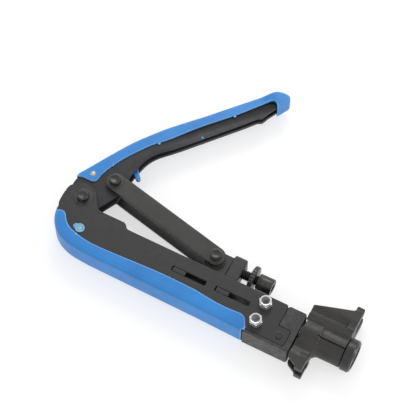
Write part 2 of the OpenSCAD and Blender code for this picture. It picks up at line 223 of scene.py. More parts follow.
def lathe_bm(bm, profile, axis, c, n=64, radial=None):
    """Turns (radius, height) pairs round an axis: 'z' at (x, y), or 'x' at (y, z)."""
    rings = []
    for r, h in profile:
        if r < 1e-6:
            co = (c[0], c[1], h) if axis == "z" else (h, c[0], c[1])
            rings.append([bm.verts.new(co)])
            continue
        ring = []
        for i in range(n):
            a = 2 * math.pi * i / n
            rr = radial(r, h, a) if radial else r
            p, q = rr * math.cos(a), rr * math.sin(a)
            ring.append(bm.verts.new((c[0] + p, c[1] + q, h) if axis == "z" else (h, c[0] + p, c[1] + q)))
        rings.append(ring)
    for A, B in zip(rings, rings[1:]):
        if len(A) == 1 and len(B) == 1:
            continue
        for i in range(n):
            j = (i + 1) % n
            if len(A) == 1:
                bm.faces.new((A[0], B[j], B[i]))
            elif len(B) == 1:
                bm.faces.new((A[i], A[j], B[0]))
            else:
                bm.faces.new((A[i], A[j], B[j], B[i]))
    if len(rings[0]) > 1 and len(rings[-1]) > 1:   # a ring: close it on itself
        A, B = rings[-1], rings[0]
        for i in range(n):
            j = (i + 1) % n
            bm.faces.new((A[i], A[j], B[j], B[i]))


def lathes(name, items, angle=32):
    bm = bmesh.new()
    for it in items:
        lathe_bm(bm, **it)
    return from_bm(name, bm, angle)


def recast(node, width=0.25, segs=2, angle=30, name=None):
    """A clean copy of a CAD node's surface with its edges broken."""
    bm = bmesh.new()
    bm.from_mesh(NODES[node].data)
    bmesh.ops.remove_doubles(bm, verts=bm.verts, dist=2e-6)
    bmesh.ops.dissolve_limit(bm, angle_limit=math.radians(0.6), verts=bm.verts, edges=bm.edges)
    if width > 0:
        edges = [e for e in bm.edges if len(e.link_faces) == 2 and e.calc_face_angle(0) > math.radians(angle)]
        bmesh.ops.bevel(bm, geom=edges, offset=width / 1000, offset_type="OFFSET", segments=segs, profile=0.6,
                        affect="EDGES", clamp_overlap=True)
    bmesh.ops.recalc_face_normals(bm, faces=bm.faces)
    me = bpy.data.meshes.new(node)
    bm.to_mesh(me)
    bm.free()
    shade(me, 36)
    o = new_object(name or ("look_" + node), me)
    return weighted(o)


# ------------------------------------------------------------------ distance-field solids
def sd_poly(pts, x, y):
    p = np.asarray(pts, float)
    d = np.full(x.shape, 1e9)
    ins = np.zeros(x.shape, bool)
    for i in range(len(p)):
        a, b = p[i], p[(i + 1) % len(p)]
        ex, ey = b[0] - a[0], b[1] - a[1]
        l2 = ex * ex + ey * ey
        if l2 < 1e-12:
            continue
        wx, wy = x - a[0], y - a[1]
        t = np.clip((wx * ex + wy * ey) / l2, 0, 1)
        d = np.minimum(d, (wx - ex * t) ** 2 + (wy - ey * t) ** 2)
        if abs(ey) > 1e-12:
            c = (a[1] <= y) != (b[1] <= y)
            ins ^= c & (x < a[0] + (y - a[1]) / ey * ex)
    return np.where(ins, -1, 1) * np.sqrt(d)


def flat(pts, x, y):
    """Distance to a polygon, worked out once per column when x, y are full grids."""
    if x.ndim == 3:
        return sd_poly(pts, x[:, :, 0], y[:, :, 0])[:, :, None] + 0 * x
    return sd_poly(pts, x, y)


def prism(d2, z, zc, h, r):
    """Rounded extrusion of a 2D distance, half height h, edge radius r."""
    w0, w1 = d2 + r, np.abs(z - zc) - h + r
    return np.minimum(np.maximum(w0, w1), 0) + np.hypot(np.maximum(w0, 0), np.maximum(w1, 0)) - r


def smin(a, b, k):
    h = np.clip(0.5 + 0.5 * (b - a) / k, 0, 1)
    return b * (1 - h) + a * h - k * h * (1 - h)


def smax(a, b, k):
    return -smin(-a, -b, k)


def cylx(y, z, cy, cz, r):
    return np.hypot(y - cy, z - cz) - r


def boxd(x, y, z, x0, x1, y0, y1, z0, z1, r=0.0):
    qx, qy, qz = np.abs(x - (x0 + x1) / 2) - (x1 - x0) / 2 + r, np.abs(y - (y0 + y1) / 2) - (y1 - y0) / 2 + r, np.abs(z - (z0 + z1) / 2) - (z1 - z0) / 2 + r
    return np.sqrt(np.maximum(qx, 0) ** 2 + np.maximum(qy, 0) ** 2 + np.maximum(qz, 0) ** 2) + np.minimum(np.maximum(qx, np.maximum(qy, qz)), 0) - r


def nets(f, lo, hi, h, newton=2):
    """Surface nets on the zero level of f, then pulled onto it."""
    lo = np.array(lo, float) + 0.37 * h
    n = [int(math.ceil((hi[i] - lo[i]) / h)) + 2 for i in range(3)]
    ax = [lo[i] + h * np.arange(n[i]) for i in range(3)]
    X, Y, Z = np.meshgrid(*ax, indexing="ij")
    V = f(X, Y, Z)
    del X, Y, Z
    S = V < 0
    cnt = np.zeros([m - 1 for m in n], np.int8)
    corners = [(a, b, c) for a in (0, 1) for b in (0, 1) for c in (0, 1)]
    sl = lambda o: tuple(slice(o[k], n[k] - 1 + o[k]) for k in range(3))
    for c in corners:
        cnt += S[sl(c)]
    act = (cnt > 0) & (cnt < 8)
    idx = np.full(act.shape, -1, np.int64)
    I = np.argwhere(act)
    idx[act] = np.arange(len(I))
    pos = np.zeros((len(I), 3))
    w = np.zeros(len(I))
    for c in corners:
        for k in range(3):
            if c[k]:
                continue
            d = list(c)
            d[k] = 1
            va = V[I[:, 0] + c[0], I[:, 1] + c[1], I[:, 2] + c[2]]
            vb = V[I[:, 0] + d[0], I[:, 1] + d[1], I[:, 2] + d[2]]
            m = (va < 0) != (vb < 0)
            t = va[m] / (va[m] - vb[m])
            q = np.tile(np.array(c, float), (m.sum(), 1))
            q[:, k] += t
            pos[m] += q
            w[m] += 1
    pos = lo + h * (I + pos / w[:, None])
    faces = []
    for k in range(3):
        a, b = [(1, 2), (2, 0), (0, 1)][k]
        s0 = [slice(None)] * 3
        s1 = [slice(None)] * 3
        s0[k], s1[k] = slice(0, n[k] - 1), slice(1, n[k])
        A, B = S[tuple(s0)], S[tuple(s1)]
        E = np.argwhere(A != B)
        E = E[(E[:, a] > 0) & (E[:, a] < n[a] - 1) & (E[:, b] > 0) & (E[:, b] < n[b] - 1)]
        up = A[E[:, 0], E[:, 1], E[:, 2]]
        quad = []
        for da, db in ((-1, -1), (0, -1), (0, 0), (-1, 0)):
            q = E.copy()
            q[:, a] += da
            q[:, b] += db
            quad.append(idx[q[:, 0], q[:, 1], q[:, 2]])
        quad = np.stack(quad, 1)
        quad[~up] = quad[~up][:, ::-1]
        faces.append(quad)
    faces = np.concatenate(faces)
    e = 0.2 * h
    start = pos.copy()
    for _ in range(newton):
        v = f(pos[:, 0], pos[:, 1], pos[:, 2])
        g = np.stack([(f(*(pos + np.eye(3)[k] * e).T) - f(*(pos - np.eye(3)[k] * e).T)) / (2 * e) for k in range(3)], 1)
        g2 = np.maximum((g ** 2).sum(1), 0.2)
        step = -(v / g2)[:, None] * g
        ln = np.linalg.norm(step, axis=1)
        step *= np.minimum(1, 0.5 * h / np.maximum(ln, 1e-9))[:, None]
        pos = pos + step
    far = np.linalg.norm(pos - start, axis=1) > 0.9 * h
    pos[far] = start[far]
    return pos, faces


def field(name, f, lo, hi, h, newton=2, angle=180):
    v, q = nets(f, lo, hi, h, newton)
    return from_arrays(name, v, q, angle)


def joined(name, parts, angle=180):
    """One piece from several separate closed shells."""
    vs, fs, k = [], [], 0
    for v, q in parts:
        vs.append(v)
        fs.append(q + k)
        k += len(v)
    return from_arrays(name, np.concatenate(vs), np.concatenate(fs), angle)


# ------------------------------------------------------------------ materials
def rgb(r, g, b):
    """Linear colour from display values 0-255."""
    return tuple(((v / 255 / 12.92) if v / 255 <= 0.04045 else ((v / 255 + 0.055) / 1.055) ** 2.4) for v in (r, g, b)) + (1.0,)


def link(nt, a, b):
    nt.links.new(a, b)


def noise(nt, vec, scale, detail=4, rough=0.55, dist=0.0):
    n = nt.nodes.new("ShaderNodeTexNoise")
    n.inputs["Scale"].default_value = scale
    n.inputs["Detail"].default_value = detail
    n.inputs["Roughness"].default_value = rough
    n.inputs["Distortion"].default_value = dist
    link(nt, vec, n.inputs["Vector"])
    return n.outputs["Fac"]


def ramp(nt, fac, stops):
    n = nt.nodes.new("ShaderNodeValToRGB")
    el = n.color_ramp.elements
    while len(el) < len(stops):
        el.new(0.5)
    for e, (p, c) in zip(el, stops):
        e.position = p
        e.color = c if hasattr(c, "__len__") else (c, c, c, 1)
    link(nt, fac, n.inputs["Fac"])
    return n.outputs["Color"]


def mix(nt, fac, a, b, mode="MIX"):
    n = nt.nodes.new("ShaderNodeMix")
    n.data_type = "RGBA"
    n.blend_type = mode
    ins = {s.identifier: s for s in n.inputs}
    for key, val in (("Factor_Float", fac), ("A_Color", a), ("B_Color", b)):
        s = ins[key]
        if hasattr(val, "is_output"):
            link(nt, val, s)
        else:
            s.default_value = val
    return [s for s in n.outputs if s.identifier == "Result_Color"][0]


def maths(nt, op, a, b=None, c=None):
    n = nt.nodes.new("ShaderNodeMath")
    n.operation = op
    for i, v in enumerate((a, b, c)):
        if v is None:
            continue
        if hasattr(v, "is_output"):
            link(nt, v, n.inputs[i])
        else:
            n.inputs[i].default_value = v
    return n.outputs[0]


def mapped(nt, vec, scale):
    n = nt.nodes.new("ShaderNodeMapping")
    n.inputs["Scale"].default_value = scale
    link(nt, vec, n.inputs["Vector"])
    return n.outputs["Vector"]


def base_material(name):
    m = bpy.data.materials.new(name)
    m.use_nodes = True
    nt = m.node_tree
    p = nt.nodes["Principled BSDF"]
    tc = nt.nodes.new("ShaderNodeTexCoord")
    return m, nt, p, tc.outputs["Object"]


def add_bump(nt, p, height, distance, strength):
    b = nt.nodes.new("ShaderNodeBump")
    b.inputs["Distance"].default_value = distance
    b.inputs["Strength"].default_value = strength
    link(nt, height, b.inputs["Height"])
    link(nt, b.outputs["Normal"], p.inputs["Normal"])


def steel(name, dark, light, metallic=0.25, rough=(0.36, 0.52), grain=0.5, wear=0.5, brushed=None, edge=(0.16, 0.155, 0.15, 1), spec=0.5, patch=90, roll=False):
    """Blackened or bare steel: blotchy tone, fine grain, rubbed edges; with roll, a painted shade strip beside the grip
    and a painted highlight along the rolled edge.
    """
    m, nt, p, vec = base_material(name)
    big = noise(nt, vec, patch, 5, 0.6)
    mid = noise(nt, vec, 520, 4, 0.6, 0.3)
    tone = maths(nt, "ADD", maths(nt, "MULTIPLY", big, 0.65), maths(nt, "MULTIPLY", mid, 0.35))
    col = ramp(nt, tone, [(0.34, dark), (0.66, light)])
    geo = nt.nodes.new("ShaderNodeNewGeometry")
    rub = ramp(nt, geo.outputs["Pointiness"], [(0.515, 0.0), (0.60, 1.0)])
    gate = ramp(nt, noise(nt, vec, 260, 5, 0.7), [(0.36, 0.0), (0.62, 1.0)])
    share = maths(nt, "MULTIPLY", maths(nt, "MULTIPLY", rub, gate), wear)
    col = mix(nt, share, col, edge)
    dust = ramp(nt, noise(nt, vec, 1500, 3, 0.7), [(0.66, 0.0), (0.78, 1.0)])
    col = mix(nt, maths(nt, "MULTIPLY", dust, 0.10), col, (0.16, 0.155, 0.15, 1))
    if roll:
        # painted shade: a dark strip beside the grip's lip stands in for the lip's shadow, and the light base left
        # along the rolled mouth edge is a painted highlight; toward the pivot the strip fades to a flat 0.6 darkening
        xyz = nt.nodes.new("ShaderNodeSeparateXYZ")
        link(nt, vec, xyz.inputs[0])
        across = maths(nt, "ADD", maths(nt, "MULTIPLY", xyz.outputs[0], 750.0), maths(nt, "MULTIPLY_ADD", xyz.outputs[1], -660.0, 50.19))
        across = maths(nt, "ADD", across, maths(nt, "MULTIPLY_ADD", noise(nt, vec, 160, 4, 0.6), 1.2, -0.6))
        pos = maths(nt, "MULTIPLY_ADD", across, 1 / 14.0, 30 / 14.0)
        tone = ramp(nt, pos, [(0.28, 0.08), (0.39, 0.14), (0.46, 0.29), (0.54, 0.37), (0.61, 0.52), (0.68, 0.74), (0.75, 1.0)])
        along = ramp(nt, maths(nt, "MULTIPLY_ADD", xyz.outputs[1], 40.0, -0.35), [(0.0, 0.0), (1.0, 1.0)])
        painted_shade_and_highlight_strip = mix(nt, along, (0.60, 0.60, 0.60, 1), tone)
        # painted shade and painted highlight multiplied into the base colour
        col = mix(nt, 1.0, col, painted_shade_and_highlight_strip, "MULTIPLY")
    link(nt, col, p.inputs["Base Color"])
    rn = noise(nt, vec, 240, 5, 0.65)
    mr = nt.nodes.new("ShaderNodeMapRange")
    mr.inputs["From Min"].default_value, mr.inputs["From Max"].default_value = 0.3, 0.7
    mr.inputs["To Min"].default_value, mr.inputs["To Max"].default_value = rough
    link(nt, rn, mr.inputs["Value"])
    link(nt, mr.outputs["Result"], p.inputs["Roughness"])
    p.inputs["Metallic"].default_value = metallic
    p.inputs["Specular IOR Level"].default_value = spec
    fine = noise(nt, vec, 2600, 3, 0.6)
    h = maths(nt, "ADD", maths(nt, "MULTIPLY", fine, 0.5), maths(nt, "MULTIPLY", noise(nt, vec, 420, 3, 0.5), 0.5))
    if brushed:
        h = maths(nt, "ADD", h, maths(nt, "MULTIPLY", noise(nt, mapped(nt, vec, brushed), 1.0, 2, 0.5), 0.8))
    add_bump(nt, p, h, 0.00006, grain)
    return m


def plastic(name, dark, light, pale, rough=(0.34, 0.46), stipple=0.35):
    """Moulded soft plastic: faint mottling, fine stipple, paler edges (partly rubbed wear, partly a painted highlight),
    small scuffs.
    """
    m, nt, p, vec = base_material(name)
    col = ramp(nt, noise(nt, vec, 34, 5, 0.55), [(0.32, dark), (0.68, light)])
    geo = nt.nodes.new("ShaderNodeNewGeometry")
    # paler edges: partly rubbed wear, partly a painted highlight along the lips
    rub = ramp(nt, geo.outputs["Pointiness"], [(0.505, 0.0), (0.56, 1.0)])
    col = mix(nt, maths(nt, "MULTIPLY", rub, 0.75), col, pale)
    scuff = ramp(nt, noise(nt, mapped(nt, vec, (160, 900, 300)), 1.0, 4, 0.7, 0.4), [(0.64, 0.0), (0.76, 1.0)])
    col = mix(nt, maths(nt, "MULTIPLY", scuff, 0.10), col, pale)
    link(nt, col, p.inputs["Base Color"])
    mr = nt.nodes.new("ShaderNodeMapRange")
    mr.inputs["From Min"].default_value, mr.inputs["From Max"].default_value = 0.3, 0.7
    mr.inputs["To Min"].default_value, mr.inputs["To Max"].default_value = rough
    link(nt, noise(nt, vec, 150, 5, 0.6), mr.inputs["Value"])
    link(nt, mr.outputs["Result"], p.inputs["Roughness"])
    p.inputs["Specular IOR Level"].default_value = 0.5
    p.inputs["Subsurface Weight"].default_value = 0.0
    h = maths(nt, "ADD", maths(nt, "MULTIPLY", noise(nt, vec, 1900, 2, 0.5), 0.6), maths(nt, "MULTIPLY", noise(nt, vec, 300, 3, 0.5), 0.4))
    add_bump(nt, p, h, 0.00007, stipple)
    return m


M = {
    "black_plate": steel("black_plate", rgb(26, 26, 26), rgb(34, 34, 33), metallic=0.0, rough=(0.38, 0.54), wear=0.5),
    "link_plate": steel("link_plate", rgb(30, 29, 28), rgb(45, 44, 42), metallic=0.0, rough=(0.36, 0.50), wear=0.6),
    # lever_steel's light base shows as a painted highlight along the mouth edge; roll=True darkens the rest with
    # painted shade
    "lever_steel": steel("lever_steel", rgb(68, 68, 71), rgb(84, 84, 87), metallic=0.0, rough=(0.32, 0.46), wear=0.4, spec=0.14, roll=True),
    "black_cast": steel("black_cast", rgb(29, 28, 27), rgb(48, 46, 44), metallic=0.0, rough=(0.34, 0.50), grain=0.9, wear=0.6, patch=140),
    "rivet_steel": steel("rivet_steel", rgb(26, 26, 26), rgb(50, 49, 47), metallic=0.1, rough=(0.18, 0.30), grain=0.6, wear=0.7, patch=260),
    "knob_steel": steel("knob_steel", rgb(26, 26, 27), rgb(42, 41, 41), metallic=0.0, rough=(0.28, 0.36), grain=0.15, wear=0.5),
    "block_steel": steel("block_steel", rgb(30, 30, 31), rgb(46, 46, 47), metallic=0.05, rough=(0.30, 0.44), wear=0.6),
    "disc_steel": steel("disc_steel", rgb(36, 36, 37), rgb(54, 54, 55), metallic=0.3, rough=(0.24, 0.36), wear=0.7, edge=(0.3, 0.3, 0.3, 1)),
    "tip_steel": steel("tip_steel", rgb(20, 20, 20), rgb(32, 32, 31), metallic=0.0, rough=(0.26, 0.38), wear=0.7),
    "dark_screw": steel("dark_screw", rgb(20, 20, 21), rgb(34, 34, 35), metallic=0.2, rough=(0.28, 0.40), wear=0.7),
    "bolt_steel": steel("bolt_steel", rgb(58, 59, 58), rgb(92, 93, 92), metallic=0.6, rough=(0.28, 0.42), grain=0.4, wear=0.3, edge=(0.6, 0.6, 0.6, 1)),
    "zinc": steel("zinc", rgb(216, 218, 219), rgb(240, 241, 242), metallic=0.8, rough=(0.16, 0.30), grain=0.3, wear=0.3, edge=(0.9, 0.9, 0.9, 1)),
    "bare_steel": steel("bare_steel", rgb(120, 121, 124), rgb(160, 161, 164), metallic=0.9, rough=(0.26, 0.4), grain=0.4, wear=0.3, edge=(0.75, 0.75, 0.75, 1)),
    "nylon": plastic("nylon", rgb(42, 43, 46), rgb(60, 61, 64), (0.2, 0.2, 0.21, 1)),
    "blue_grip": plastic("blue_grip", rgb(20, 115, 190), rgb(28, 128, 204), (0.28, 0.55, 0.86, 1)),
    "blue_light": plastic("blue_light", rgb(70, 150, 192), rgb(96, 176, 212), (0.45, 0.72, 0.85, 1)),
    "brass": steel("brass", rgb(196, 166, 136), rgb(232, 204, 174), metallic=0.6, rough=(0.26, 0.4), grain=0.4, wear=0.3, edge=(0.92, 0.84, 0.74, 1)),
}


def done(o, body, mat, *nodes):
    """Material, slot, body and the CAD nodes that the piece stands for."""
    o.data.materials.clear()
    o.data.materials.append(M[mat])
    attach(o, body)
    if nodes:
        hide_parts(*nodes)
    return o


# ------------------------------------------------------------------ outlines
steel_outer = smooth([(-13.4, -13), (-12, -16.5), (-10.6, -21), (-8.6, -25), (-5.5, -29.5), (-1.3, -33.6), (4.8, -37), (14, -39.4), (28, -40.5)], 6) + [(70, -40.8), (120, -41.2), (156.8, -41.5)]
plate_in = [(178.6, -28), (178.6, -12), (178.1, -10.7), (177, -10.2), (44.5, -10)] + smooth([(44.5, -10), (42.6, -9), (41.2, -7.2), (39, -5.9)], 5)[1:] + [(20, -5.9)] + smooth([(20, -5.9), (16.5, -5), (13.5, -2), (8.5, 5.4), (4.8, 8.2), (-1.5, 9.4), (-7, 8.2), (-11, 5.2), (-13.2, 2.2), (-13.8, -3), (-13.8, -9), (-13.4, -13)], 6)[1:-1]
plate_out = steel_outer + [(186.7, -41.5), (188.2, -40.9), (188.8, -39.5), (188.8, -30), (188.2, -28.6), (186.7, -28)] + plate_in
slots = [rounded([(x, -24.9), (x + 28.3, -24.9), (x + 28.3, -20.7), (x, -20.7)], 0.7, 3) for x in (88.3, 124.2)]

grip_outer = smooth([(-12.8, -15.6), (-12.1, -20.5), (-10.2, -25.7), (-7, -30.8), (-2.4, -35.2), (4, -38.8), (13.5, -41.3), (28, -42.4)], 6) + [(70, -42.8), (120, -43.3), (158, -44.2)]
grip_lip = [(158.6, -43.2), (158.4, -41.2), (157.0, -38.4), (155.4, -35.6), (154, -33.9), (152.2, -33.0), (150, -32.6)] + smooth([(150, -32.6), (140, -33.2), (130, -33), (120, -32), (110, -31.1), (90, -30.8), (75, -31.1), (50, -32.4), (30.5, -33.1), (20.5, -32.5), (15.5, -31.7), (10.6, -30.4), (6.6, -29.2), (3.6, -27.6), (0.6, -25.2), (-1.4, -22.7), (-3.4, -20.2), (-5.6, -18.9), (-8.4, -19)], 5)[1:]

lever_back = smooth([(-10.6, -3), (-12.9, 3.5), (-13.8, 8), (-13.65, 11.5), (-12.9, 14.4), (-10.9, 18.4), (-8, 23.5), (-3.6, 31.5), (1, 39.5), (11, 57.6), (21, 71.8), (31, 84.6), (51, 106.8)], 6) + [(61, 118.6), (81, 141.6)] + smooth([(81, 141.6), (86, 147.6), (89, 150.2), (92, 151.2), (95, 150)], 4)[1:]
lever_mouth = [(94.5, 141), (92.6, 136.6), (90.6, 132.5), (89.6, 129.5), (88.4, 126.6), (86.6, 125.4), (84.9, 124.4), (78.8, 116.4), (68.5, 104), (56, 89), (43.7, 74.2)] + smooth([(43.7, 74.2), (39.2, 69.2), (35, 64.8), (31.3, 60.7), (28.4, 56.4), (26.3, 51.7), (24.9, 46.6), (23.9, 41), (23.1, 35)], 6)[1:] + [(22.7, 30), (22.4, 25), (22.1, 13), (15.1, -1)]
lgrip_outer = smooth([(-13.9, 14.6), (-13.4, 17.4), (-10.7, 22.3), (-5.6, 31.8), (-0.7, 41), (9.4, 58.8), (19.4, 73), (29.4, 85.8), (49.4, 108)], 6) + [(59.4, 119.8), (79.4, 142.9)] + smooth([(79.4, 142.9), (84.4, 148.8), (87.8, 151.8), (91.6, 153.2), (95.5, 153.5), (98.6, 153), (100.2, 151.6), (100, 149.6)], 5)[1:]
lgrip_lip = [(94.9, 139.6)] + smooth([(94.2, 140.4), (92.3, 142.7), (89.4, 143.2), (86.4, 140.8), (79.3, 131.6), (69.2, 118.6), (49.2, 95.5), (34.1, 75.6), (24.1, 64.4), (14.1, 49.4), (9.1, 40.4), (6.1, 33.4), (4.1, 28.4), (2.8, 23.3), (2.4, 19.3), (1.5, 16.8), (-0.3, 15.5), (-3, 15.1), (-9, 15.2)], 5) + [(-13, 14)]

# ------------------------------------------------------------------ frame plates, links
holes = slots + [circle(PV, 3.1)] + [circle(b, 3.1) for b in BOLTS] + [circle(NOSE_RV, 1.65, 24), circle(PLUG, 2.45, 32)]
for nm, z in (("frame_plate_top", -PT), ("frame_plate_bottom", -FT)):
    done(plate("look_" + nm, plate_out, holes, z, z + PT, 0.28), "frame", "black_plate", nm)

ang = math.atan2(LB[1] - LA[1], LB[0] - LA[0])
link_out = arc(LA, 7.3, math.degrees(ang) + 90, math.degrees(ang) + 270, 40) + arc(LB, 7.3, math.degrees(ang) - 90, math.degrees(ang) + 90, 40)
for nm, z in (("link_plate_top", -PT), ("link_plate_bottom", -FT)):
    done(plate("look_" + nm, link_out, [circle(LA, 3.1), circle(LB, 3.1)], z, z + PT, 0.55, 4), "link", "link_plate", nm)


# ------------------------------------------------------------------ rivets, washers, plug
def rivet_profile(r, rh, z0, z1, h, dish=0.25):
    def head(s, z):
        return [(rh - 0.05, z), (rh, z + s * 0.12), (rh, z + s * (h - 0.85)), (rh - 0.12, z + s * (h - 0.45)), (rh - 0.42, z + s * (h - 0.14)), (rh - 0.85, z + s * h), (rh - 1.3, z + s * (h - dish * 0.3)), (rh - 2.0, z + s * (h - dish)), (0, z + s * (h - dish))]
    low, top = head(-1, z0), head(1, z1)
    return low[::-1] + [(r, z0), (r, z1)] + top


for nm, p, body in (("pivot_rivet", PV, "frame"), ("link_rivet_lever", LA, "link"), ("link_rivet_slider", LB, "link")):
    body = NODES[nm]["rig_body"]
    done(lathes("look_" + nm, [dict(profile=rivet_profile(3.0, 4.3, -FT - 0.3, 0.3, 3.5), axis="z", c=p, n=72)], 50), body, "rivet_steel", nm)


def washer_items(pts, r, ri, zs, t=0.34):
    out = []
    for p in pts:
        for z in zs:
            out.append(dict(profile=[(ri, z + 0.03), (ri + 0.05, z), (r - 0.06, z), (r, z + 0.06), (r - 0.02, z + t - 0.2), (r - 0.14, z + t - 0.06), (r - 0.4, z + t), (ri + 0.08, z + t), (ri, z + t - 0.04)][::-1], axis="z", c=p, n=80))
    return out


done(lathes("look_pivot_washers", washer_items([PV], 7.6, 3.02, [0, -FT - 0.34]), 50), "frame", "black_plate", "pivot_washers")
done(lathes("look_link_washers", washer_items([LA, LB], 6.3, 3.02, [0, -FT - 0.34]), 50), NODES["link_washers"]["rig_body"], "link_plate", "link_washers")


def plug_field(side):
    z0 = 0 if side > 0 else -FT

    def f(x, y, z):
        h = (z - z0) * side
        a = prism(np.hypot(x - PLUG[0], y - PLUG[1]) - 3.7, h, 0.3, 0.75, 0.4)
        b = prism(np.hypot(x - PLUG[0] + 3.2, y - PLUG[1] - 0.3) - 2.2, h, 0.2, 0.7, 0.35)
        d = smin(a, b, 0.3)
        groove = np.abs(np.hypot(x - PLUG[0], y - PLUG[1]) - 2.2) - 0.35
        d = smax(d, -smax(groove, np.abs(h - 1.05) - 0.25, 0.1), 0.15)
        return smax(d, -(np.hypot(x - PLUG[0], y - PLUG[1]) - 1.15), 0.1)
    return nets(f, (PLUG[0] - 6.2, PLUG[1] - 4.4, (z0 - 1) if side > 0 else z0 - 1.6), (PLUG[0] + 4.4, PLUG[1] + 4.4, (z0 + 1.6) if side > 0 else z0 + 1), 0.17)


done(joined("look_grip_plug", [plug_field(1), plug_field(-1)]), "frame", "blue_light", "grip_plug")


def slotted(name, p, r, z1, z0, depth, body, mat, node):
    """Small pan-head screws on both faces, each with a cross recess."""
    parts = []
    for side, zt in ((1, z1), (-1, z0)):
        def f(x, y, z):
            h = (z - zt) * side
            rr = np.hypot(x - p[0], y - p[1])
            d = smax(rr - r, h + 0.22 * (rr / r) ** 2, 0.12)
            d = smax(d, -h - depth, 0.05)
            c, s = math.cos(0.6), math.sin(0.6)
            u, v = (x - p[0]) * c + (y - p[1]) * s, -(x - p[0]) * s + (y - p[1]) * c
            cross = np.minimum(np.maximum(np.abs(u) - 0.62 * r, np.abs(v) - 0.16 * r), np.maximum(np.abs(v) - 0.62 * r, np.abs(u) - 0.16 * r))
            return smax(d, -smax(cross, -h - 0.45, 0.05), 0.05)
        zz = sorted((zt + side * 0.3, zt - side * (depth + 0.3)))
        parts.append(nets(f, (p[0] - r - 0.3, p[1] - r - 0.3, zz[0]), (p[0] + r + 0.3, p[1] + r + 0.3, zz[1]), r / 14))
    return done(joined(name, parts), body, mat, node)


slotted("look_grip_plug_screw", PLUG, 1.12, 0.85, -FT - 0.85, 1.2, "frame", "brass", "grip_plug_screw")
slotted("look_lever_grip_screws", LSCREW, 1.85, ZM + 6.75, ZM - 6.75, 1.2, "lever", "brass", "lever_grip_screws")

# nose rivet: low flat head with a rim
items = []
for s, z in ((1, 0.0), (-1, -FT)):
    prof = [(0, z - s * 0.5), (2.5, z - s * 0.5), (2.6, z), (2.6, z + s * 0.5), (2.45, z + s * 0.75), (2.1, z + s * 0.85), (1.75, z + s * 0.8), (1.55, z + s * 0.45), (0, z + s * 0.45)]
    items.append(dict(profile=prof, axis="z", c=NOSE_RV, n=48))
    items.append(dict(profile=[(3.1, z - s * 0.2), (3.1, z + s * 0.04), (3.3, z + s * 0.16), (3.75, z + s * 0.16), (3.95, z + s * 0.04), (3.95, z - s * 0.2)], axis="z", c=NOSE_RV, n=56))
done(lathes("look_nose_rivet", items, 50), "frame", "black_plate", "nose_rivet")


# ------------------------------------------------------------------ nuts and bolts
def hexd(x, y, c, af, turn=0.0):
    d = None
    for k in range(3):
        a = math.radians(90 + turn + 60 * k)
        q = np.abs((x - c[0]) * math.cos(a) + (y - c[1]) * math.sin(a)) - af / 2
        d = q if d is None else np.maximum(d, q)
    return d


def hex_cut(af, turn=0.0):
    """Radial limit that turns a lathe profile into a hexagon across flats af."""
    def radial(r, h, a):
        k = (math.degrees(a) - turn) % 60 - 30
        return min(r, af / 2 / math.cos(math.radians(k)))
    return radial


def nut_profile():
    cone = [(4.45 + 0.75 * (1 - i / 8), 4.7 - 0.43 * (1 - i / 8)) for i in range(9)]
    foot = [(4.8 + 0.4 * i / 5, 0.02 + 0.24 * i / 5) for i in range(6)]
    return [(3.05, 0.02), (4.7, 0.0)] + foot + [(5.21, 2.0)] + cone + [(4.4, 4.71), (4.36, 4.8), (4.34, 5.75), (4.2, 6.05), (3.95, 6.2), (3.55, 6.2), (3.25, 6.05), (3.12, 5.7), (3.05, 5.2)]


done(lathes("look_frame_lock_nuts", [dict(profile=nut_profile(), axis="z", c=c, n=96, radial=hex_cut(9.0)) for c in BOLTS], 30), "frame", "zinc", "frame_lock_nuts")


def helix_bm(bm, axis, c, r0, r1, h0, h1, pitch, n=40, lead=0.8):
    """A threaded rod as one closed skin: its radius follows a helix, and fades out at both ends."""
    steps = int(round((h1 - h0) / pitch * 10))
    rings = []
    for i in range(steps + 1):
        h = h0 + (h1 - h0) * i / steps
        fade = min(1.0, (h - h0) / lead, (h1 - h) / lead)
        ring = []
        for k in range(n):
            a = 2 * math.pi * k / n
            ph = (h / pitch + k / n) % 1.0
            tri = 1 - abs(2 * ph - 1)
            r = r0 + (r1 - r0) * min(1, max(0, (tri - 0.08) / 0.78))
            r = r0 + (r - r0) * max(0.0, fade) if fade < 1 else r
            p, q = r * math.cos(a), r * math.sin(a)
            ring.append(bm.verts.new((c[0] + p, c[1] + q, h) if axis == "z" else (h, c[0] + p, c[1] + q)))
        rings.append(ring)
    for A, B in zip(rings, rings[1:]):
        for k in range(n):
            j = (k + 1) % n
            bm.faces.new((A[k], A[j], B[j], B[k]))
    bm.faces.new(rings[0][::-1])
    bm.faces.new(rings[-1])


bm = bmesh.new()
for c in BOLTS:
    helix_bm(bm, "z", c, 2.45, 2.95, -FT - 0.5, 5.6, 1.0, 36, 0.7)
rod = from_bm("look_bolt_threads", bm, 60)
done(rod, "frame", "bolt_steel")


head_prof = [(0, -FT - 3.1), (3.2, -FT - 3.1), (3.5, -FT - 3.3), (3.8, -FT - 3.8), (4.95, -FT - 3.8)] + [(4.95 + 0.83 * i / 6, -FT - 3.8 + 0.47 * i / 6) for i in range(7)] + [(5.79, -FT - 0.3), (5.4, -FT - 0.02), (5.2, -FT), (0, -FT)]
done(lathes("look_bolt_heads", [dict(profile=head_prof, axis="z", c=c, n=96, radial=hex_cut(10.0)) for c in BOLTS], 30), "frame", "zinc", "frame_bolts")
items = [dict(profile=[(2.35, 5.62), (3.08, 5.6), (3.1, 5.7), (3.06, 5.88), (2.8, 5.95), (2.4, 5.86)], axis="z", c=b, n=48) for b in BOLTS]
done(lathes("look_nut_inserts", items, 50), "frame", "nylon", "nut_inserts")

# ------------------------------------------------------------------ frame grip
pushed = push(grip_outer, 6.0)
gA = [(-13.0, -10.0)] + grip_outer + [(175, -44.6), (175, 0), (-5, 0)]
gB = [(-12.2, -15.7), (-19, -15.7)] + pushed[2:] + [(158.7, -50)] + grip_lip + [(-11.6, -19.9)]
gP = [tuple(p) for p in plate_out]


